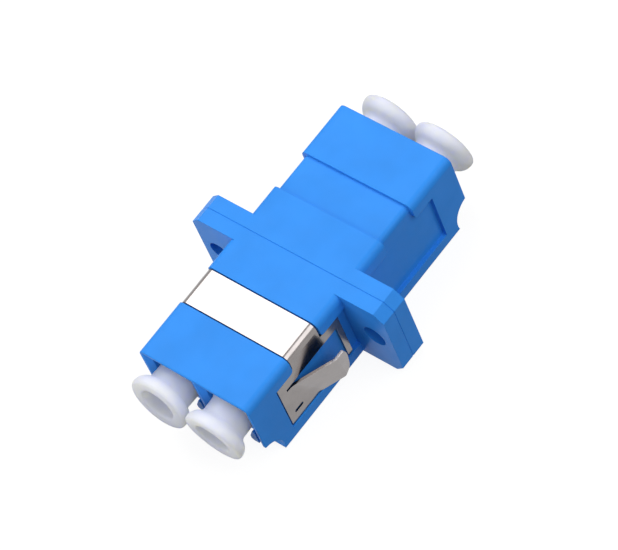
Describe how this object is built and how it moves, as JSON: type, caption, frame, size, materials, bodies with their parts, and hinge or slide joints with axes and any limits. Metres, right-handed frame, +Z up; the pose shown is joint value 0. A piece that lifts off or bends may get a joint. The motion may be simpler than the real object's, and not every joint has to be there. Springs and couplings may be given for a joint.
{
  "type": "lc fibre adapter",
  "caption": "Duplex LC fibre-optic panel adapter: a flanged rectangular through-coupler with a sprung side clip, split alignment sleeves and pull-out dust caps in its ports.",
  "frame": {"origin": "middle of the weld plane between the two mouldings, at the height of the flange's lower edge", "axes": "+X across the two ports and along the flange, +Y along the ports from the half with the clip to the plain half, +Z up from the latch side to the plain side"},
  "size_m": [0.0222, 0.0353, 0.0092],
  "materials": {
    "blue_moulding": "satin moulded",
    "clip_steel": "smooth rolled stainless",
    "sleeve_ceramic": "ground zirconia",
    "cap_plastic": "soft natural polyethylene"
  },
  "bodies": {
    "adapter": {"front_housing": "blue_moulding", "rear_housing": "blue_moulding", "panel_clip": "clip_steel", "split_sleeve_left": "sleeve_ceramic", "split_sleeve_right": "sleeve_ceramic"},
    "cap_front_left": {"dust_cap_front_left": "cap_plastic"},
    "cap_front_right": {"dust_cap_front_right": "cap_plastic"},
    "cap_rear_left": {"dust_cap_rear_left": "cap_plastic"},
    "cap_rear_right": {"dust_cap_rear_right": "cap_plastic"}
  },
  "joints": [
    {"name": "cap_front_left_pull", "type": "slide", "parent": "adapter", "child": "cap_front_left", "axis": [0, -0.9976, 0.0698], "range_m": [0, 0.012]},
    {"name": "cap_front_right_pull", "type": "slide", "parent": "adapter", "child": "cap_front_right", "axis": [0, -0.9976, -0.0698], "range_m": [0, 0.012]},
    {"name": "cap_rear_left_pull", "type": "slide", "parent": "adapter", "child": "cap_rear_left", "axis": [0, 1, 0], "range_m": [0, 0.012]},
    {"name": "cap_rear_right_pull", "type": "slide", "parent": "adapter", "child": "cap_rear_right", "axis": [0, 0.9976, 0.0698], "range_m": [0, 0.012]}
  ]
}
